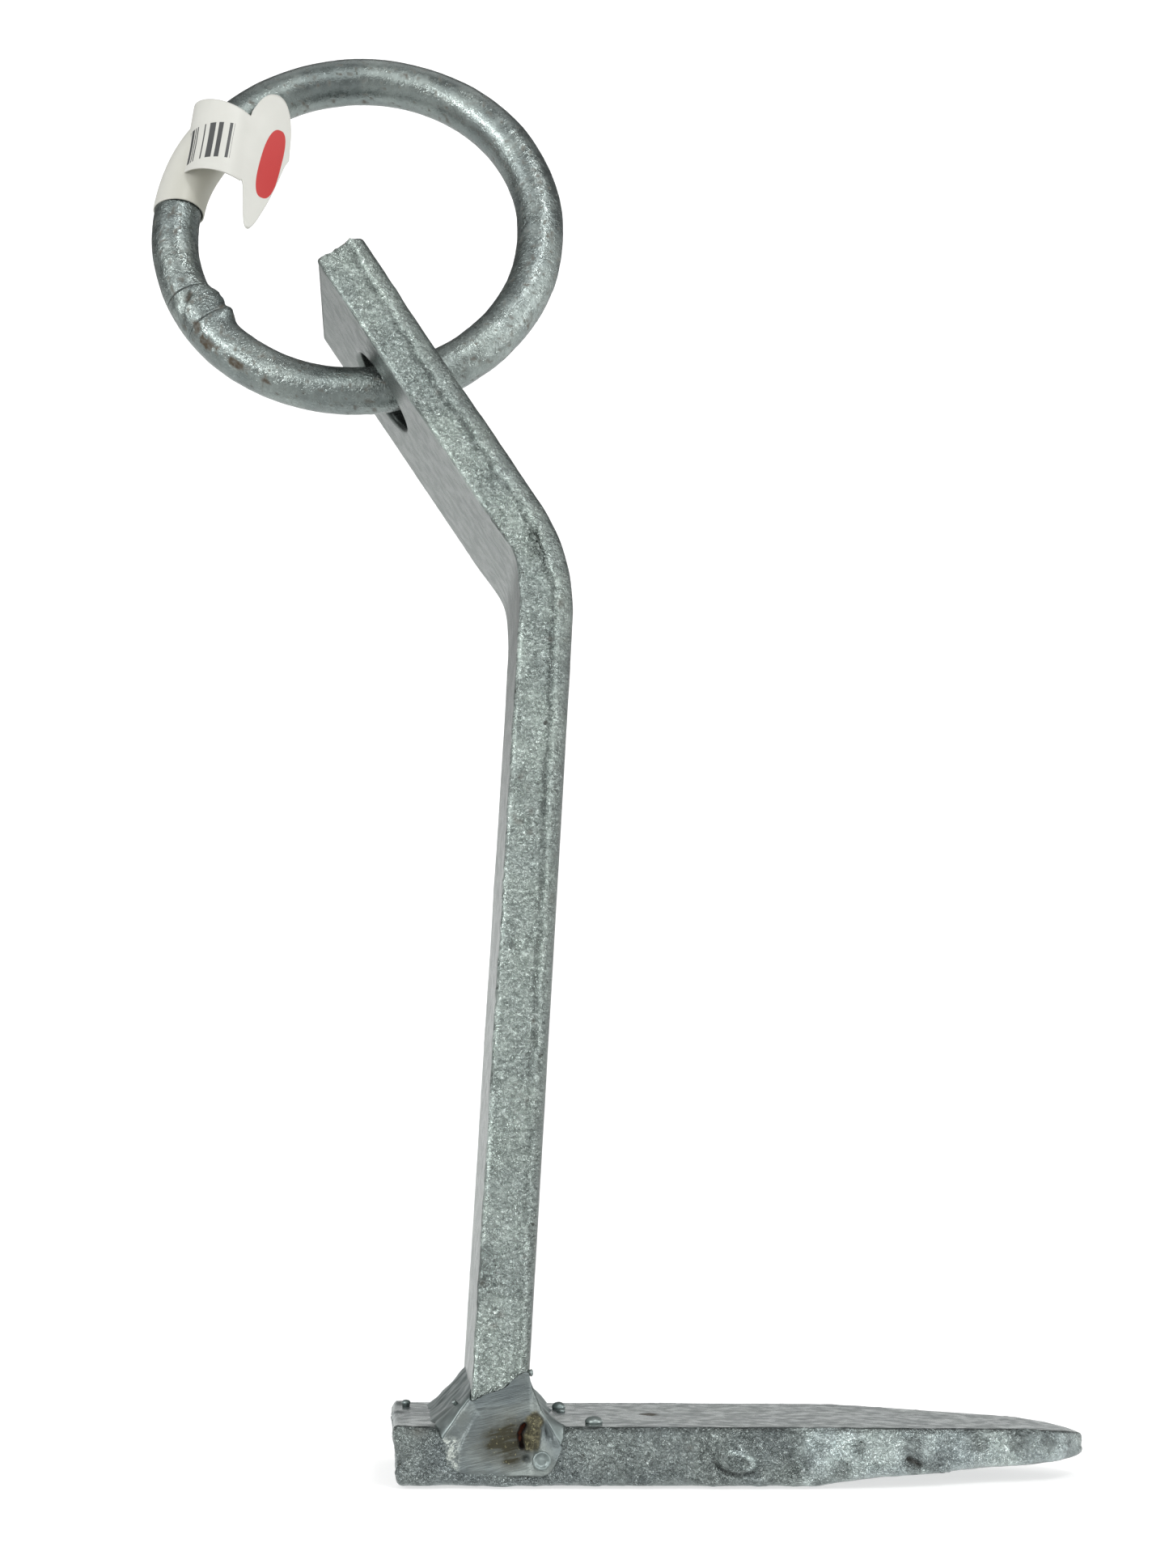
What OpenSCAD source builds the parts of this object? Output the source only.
// Rock and ground mooring anchor: a flat-bar spike driven in by its heel, a bent
// flat-bar shank welded on top of it, and a loose ring in the shank's end.
// Origin: on the sole, under the middle of the shank's foot. +X runs to the point,
// +Z up the shank, and Y is across the bars.

/* [Bars] */
// Width of both flat bars
bar_w = 50; // [40:1:60]
// Thickness of both flat bars
bar_t = 12; // [10:0.5:14]

/* [Spike] */
// From the middle of the shank's foot back to the heel, the face that is struck
heel_reach = 21; // [18:0.5:30]
// From the middle of the shank's foot to the tip
point_reach = 131; // [120:1:160]
// Where the sides begin to draw in
taper_x = 77; // [60:1:85]
// Where the sole begins to rise
sole_x = 69; // [50:1:80]
// Radius of the rounded nose, seen from above
nose_r = 15; // [12:0.5:18]
// Height of the underside where the nose begins
nose_low = 3; // [1:0.5:4]
// Height of the top where the nose begins
nose_high = 10.5; // [8:0.5:11]
// Height of the tip's middle
tip_z = 6; // [5.5:0.1:6.5]
// Thickness left at the tip
tip_t = 3.6; // [2:0.2:5]

/* [Shank] */
// Lean of the lower leg, towards the point
leg_lean = 2.5; // [0:0.5:5]
// Lean of the upper arm, towards the heel
arm_lean = 34.5; // [25:0.5:45]
// Length of the leg's heel-side face, from the spike up to the corner of the bend
leg_len = 184; // [150:1:220]
// Length of the arm's heel-side face, from the corner of the bend to its end
arm_len = 84; // [75:1:100]
// Inner radius of the bend
bend_r = 34; // [20:1:45]
// Size of the bevel on the arm's two outer corners
corner_cut = 1; // [0.5:0.5:3]

/* [Ring] */
// Hole for the ring
hole_d = 20; // [19:0.5:22]
// From the arm's end to the hole's centre
hole_inset = 27; // [22:1:32]
// Diameter of the ring's round bar
wire_d = 11; // [9:0.5:11]
// Inside diameter of the ring
ring_inner_d = 77; // [76:1:84]
// How far the ring leans away from the front
ring_lean = 12; // [8:1:13]
// How far the ring is turned towards the heel
ring_turn = 4; // [2:1:6]
// How far the ring has rocked to the heel side
ring_rock = 16; // [14:1:18]
// How far the bar lies off the hole's centre
ring_drop = 1.5; // [0.5:0.5:1.5]
// Place of the ring's butt weld, anticlockwise from +X
ring_weld_at = 213; // [200:1:230]

/* [Welds] */
// Leg of the fillet on the heel side
heel_fillet = 10; // [6:0.5:12]
// Leg of the fillet on the point side
point_fillet = 6.5; // [4:0.5:8]
// Depth of the weld filled in flush across each narrow face
cap_depth = 3; // [2:0.5:5]
// Width of the ring's butt weld, in degrees of the ring
ring_weld_span = 12; // [6:1:14]
// How far that weld stands inside the ring
ring_weld_bulge = 1.5; // [0.5:0.5:2]

/* [Label] */
// Thickness of the label in this model, much thicker than paper
paper_t = 0.6; // [0.5:0.1:0.8]
// Radius of the label where it bows out in front of the ring's bar
label_bow_r = 9; // [8.5:0.25:9.5]

/* [Hidden] */
$fn = 96;

zinc = [0.60, 0.63, 0.62];
zinc_dark = [0.50, 0.53, 0.52];
paper_white = [0.86, 0.85, 0.81];

cut = 1;                      // how far a cutter runs past what it cuts
big = 400;                    // larger than the whole anchor
bend = leg_lean + arm_lean;   // angle that the shank is bent by
setback = bend_r * tan(bend / 2);
leg_straight = leg_len - setback;
arm_straight = arm_len - setback;
bend_centre = -bar_t / 2 - bend_r;

// The hole's centre, carried up the leg, round the bend and along the arm
hole_up = arm_straight - hole_inset;
in_bend = [-bend_centre * cos(bend) + bend_centre, -bend_centre * sin(bend)];
along_arm = hole_up * [-sin(bend), cos(bend)];
hole_on_leg = in_bend + along_arm + [0, leg_straight];
hole_x = hole_on_leg[0] * cos(leg_lean) + hole_on_leg[1] * sin(leg_lean);
hole_z = bar_t - hole_on_leg[0] * sin(leg_lean) + hole_on_leg[1] * cos(leg_lean);

// The line along each side of the spike's taper meets the nose's circle at its tangent
nose_x = point_reach - nose_r;
run_to_nose = norm([nose_x - taper_x, bar_w / 2]);
taper_angle = atan2(bar_w / 2, nose_x - taper_x) - asin(nose_r / run_to_nose);

ring_r = (ring_inner_d + wire_d) / 2;

// Outline of a weld's cap on the narrow faces: wider at its foot than on the shank
cap_foot_z = 3;
cap_top_z = bar_t + 9;
cap_foot_w = 17;
cap_top_w = 10;

module side_extrude(depth) {
    rotate([90, 0, 0]) linear_extrude(depth, center = true) children();
}

// Points along a circle's arc, from one angle to another
function arc(centre, r, from, to, steps = 24) =
    [for (i = [0:steps]) let (a = from + (to - from) * i / steps)
        centre + r * [cos(a), sin(a)]];

// ---- the spike
module spike_plan() {
    polygon(concat(
        [[-heel_reach, bar_w / 2], [-heel_reach, -bar_w / 2], [taper_x, -bar_w / 2]],
        arc([nose_x, 0], nose_r, taper_angle - 90, 90 - taper_angle),
        [[taper_x, bar_w / 2]]
    ));
}

module spike_side() {
    tip = [point_reach - tip_t / 2, tip_z];
    polygon(concat(
        [[-heel_reach, bar_t], [-heel_reach, 0], [sole_x, 0], [nose_x, nose_low]],
        arc(tip, tip_t / 2, -90, 90, 8),
        [[nose_x, nose_high], [taper_x, bar_t]]
    ));
}

module spike() {
    color(zinc) difference() {
        intersection() {
            linear_extrude(bar_t) spike_plan();
            side_extrude(bar_w) spike_side();
        }
        cap_pockets();
    }
}

// ---- the shank, drawn edge on: up one side from its foot, and back down the other
module shank_side() {
    centre = [bend_centre, leg_straight];
    reach = arm_straight * [-sin(bend), cos(bend)];
    outer = arc(centre, bend_r + bar_t, 0, bend);
    inner = arc(centre, bend_r, bend, 0);
    foot = [bar_t / 2, bar_t / 2 * tan(leg_lean)];
    translate([0, bar_t]) rotate(-leg_lean)
        polygon(concat([-foot, foot], outer, [outer[len(outer) - 1] + reach, inner[0] + reach], inner));
}

// Moves its children from the hole's centre, with Z along the hole, to their place
module at_hole() {
    translate([hole_x, 0, hole_z]) rotate([0, 90 - arm_lean, 0]) children();
}

module arm_corners() {
    cutter = 6 * corner_cut;
    for (side = [-1, 1])
        at_hole() translate([-hole_inset, side * bar_w / 2, 0]) rotate([0, 0, side * 135])
            translate([cutter / 2 - corner_cut / sqrt(2), 0, 0])
                cube([cutter, 2 * cutter, bar_t + 2 * cut], center = true);
}

module shank() {
    color(zinc) difference() {
        side_extrude(bar_w) shank_side();
        at_hole() cylinder(h = bar_t + 2 * cut, d = hole_d, center = true);
        arm_corners();
        cap_pockets();
    }
}

// ---- the welds
module fillet_side(leg, side) {
    toe = bar_t / 2 + leg;
    lean_shift = leg * tan(leg_lean);
    face = bar_t / 2 / cos(leg_lean);
    belly = leg * 0.6;
    polygon([
        [side * face, bar_t], [side * toe, bar_t], [side * (bar_t / 2 + belly), bar_t + leg - belly],
        [side * face + lean_shift, bar_t + leg]
    ]);
}

module heel_side_weld() {
    color(zinc_dark) side_extrude(bar_w - 2 * cap_depth) fillet_side(heel_fillet, -1);
}

module point_side_weld() {
    color(zinc_dark) side_extrude(bar_w - 2 * cap_depth) fillet_side(point_fillet, 1);
}

module cap_outline() {
    polygon([
        [-cap_foot_w / 2, cap_foot_z], [cap_foot_w / 2, cap_foot_z],
        [cap_foot_w / 2, bar_t], [cap_top_w / 2, cap_top_z],
        [-cap_top_w / 2, cap_top_z], [-cap_foot_w / 2, bar_t]
    ]);
}

module cap(side) {
    translate([0, side * (bar_w - cap_depth) / 2, 0]) side_extrude(cap_depth) cap_outline();
}

module cap_pockets() {
    for (side = [-1, 1])
        translate([0, side * (bar_w - cap_depth + cut) / 2, 0])
            side_extrude(cap_depth + cut) cap_outline();
}

module front_weld() {
    color(zinc_dark) cap(-1);
}

module rear_weld() {
    color(zinc_dark) cap(1);
}

// Beads thrown off by the welding, each a half ball: place, direction it faces, radius
module bead(place, turn, r) {
    translate(place) rotate(turn) difference() {
        sphere(r, $fn = 48);
        translate([0, 0, -big / 2]) cube(big, center = true);
    }
}

module weld_spatter() {
    color(zinc_dark) {
        bead([15.2, 11.5, bar_t], [0, 0, 0], 2);
        bead([20.5, -18, bar_t], [0, 0, 0], 1.6);
        bead([15.2, 4.6, bar_t], [0, 0, 0], 1);
        bead([10.4, -bar_w / 2, 5.4], [90, 0, 0], 1.6);
        bead([-18.8, 16, bar_t], [0, 0, 0], 1);
    }
}

// ---- the ring, drawn facing -Y about its own centre
module ring_place() {
    translate([hole_x, 0, hole_z]) rotate([-ring_lean, 0, -ring_turn]) rotate([0, -ring_rock, 0])
        translate([0, 0, ring_r - ring_drop]) rotate([0, ring_rock, 0]) children();
}

module ring_arc(from, span, r, shift = 0) {
    rotate([90, 0, 0]) rotate([0, 0, from]) rotate_extrude(angle = span, $fn = 180)
        translate([ring_r - shift, 0]) circle(r, $fn = 48);
}

module mooring_ring() {
    color(zinc) ring_place()
        ring_arc(ring_weld_at + ring_weld_span / 2, 360 - ring_weld_span, wire_d / 2);
}

module ring_butt_weld() {
    bead_r = wire_d / 2 + ring_weld_bulge / 2;
    color(zinc_dark) ring_place()
        ring_arc(ring_weld_at - ring_weld_span / 2, ring_weld_span, bead_r, ring_weld_bulge / 2);
}

// ---- the price label, a sleeve round the ring's bar whose outer layer bows out in front
label_x = -33.5;        // middle of the bow, from the ring's centre
label_y = -1;
label_end = 50;         // where the bow's arc ends, in degrees below the front's sides
lobe_turn = 28;         // how far the free end turns back towards the ring
panel_left = [12.4, 32.6];     // heights of the panel's two edges at its left
panel_right = [7.6, 26.4];     // and where it meets the free end
panel_reach = 12.5;            // from the middle of the bow to the panel's left edge
lobe_x = -23.2;         // middle of the free end, which narrows down to a tip
lobe_z = 28.6;
lobe_r = 5.6;
lobe_mid_z = 20;
lobe_mid_r = 5;
lobe_tip = [-24.6, -3.2];
lobe_tip_r = 1.2;
sleeve_from = 150;      // where the sleeve starts round the ring, anticlockwise from +X
sleeve_span = 24;
sleeve_t = 0.8;

module label_plan() {
    translate([label_x, label_y]) {
        intersection() {
            difference() {
                circle(label_bow_r + paper_t);
                circle(label_bow_r);
            }
            polygon([[0, 0], 2 * label_bow_r * [-1, -0.1], 2 * label_bow_r * [-1, -2],
                     2 * label_bow_r * [1, -2], 2 * label_bow_r * [cos(label_end), -sin(label_end)]]);
        }
        translate((label_bow_r + paper_t / 2) * [cos(label_end), -sin(label_end)])
            rotate(lobe_turn) translate([-paper_t, -paper_t / 2])
                square([lobe_r * 2.3, paper_t]);
    }
}

module label_front() {
    left = label_x - panel_reach;
    right = lobe_x - lobe_r + 2 * paper_t;
    polygon([
        [left, panel_left[0]], [right, panel_right[0]],
        [right, panel_right[1]], [left, panel_left[1]]
    ]);
    hull() {
        translate([lobe_x, lobe_z]) circle(lobe_r);
        translate([lobe_x, lobe_mid_z]) circle(lobe_mid_r);
        translate(lobe_tip) circle(lobe_tip_r);
    }
}

module price_label() {
    color(paper_white) ring_place() difference() {
        union() {
            ring_arc(sleeve_from, sleeve_span, wire_d / 2 + sleeve_t);
            intersection() {
                translate([0, 0, -big / 2]) linear_extrude(big) label_plan();
                side_extrude(big) label_front();
            }
        }
        ring_arc(sleeve_from - 5, sleeve_span + 10, wire_d / 2);
    }
}

spike();
shank();
heel_side_weld();
point_side_weld();
front_weld();
rear_weld();
weld_spatter();
mooring_ring();
ring_butt_weld();
price_label();
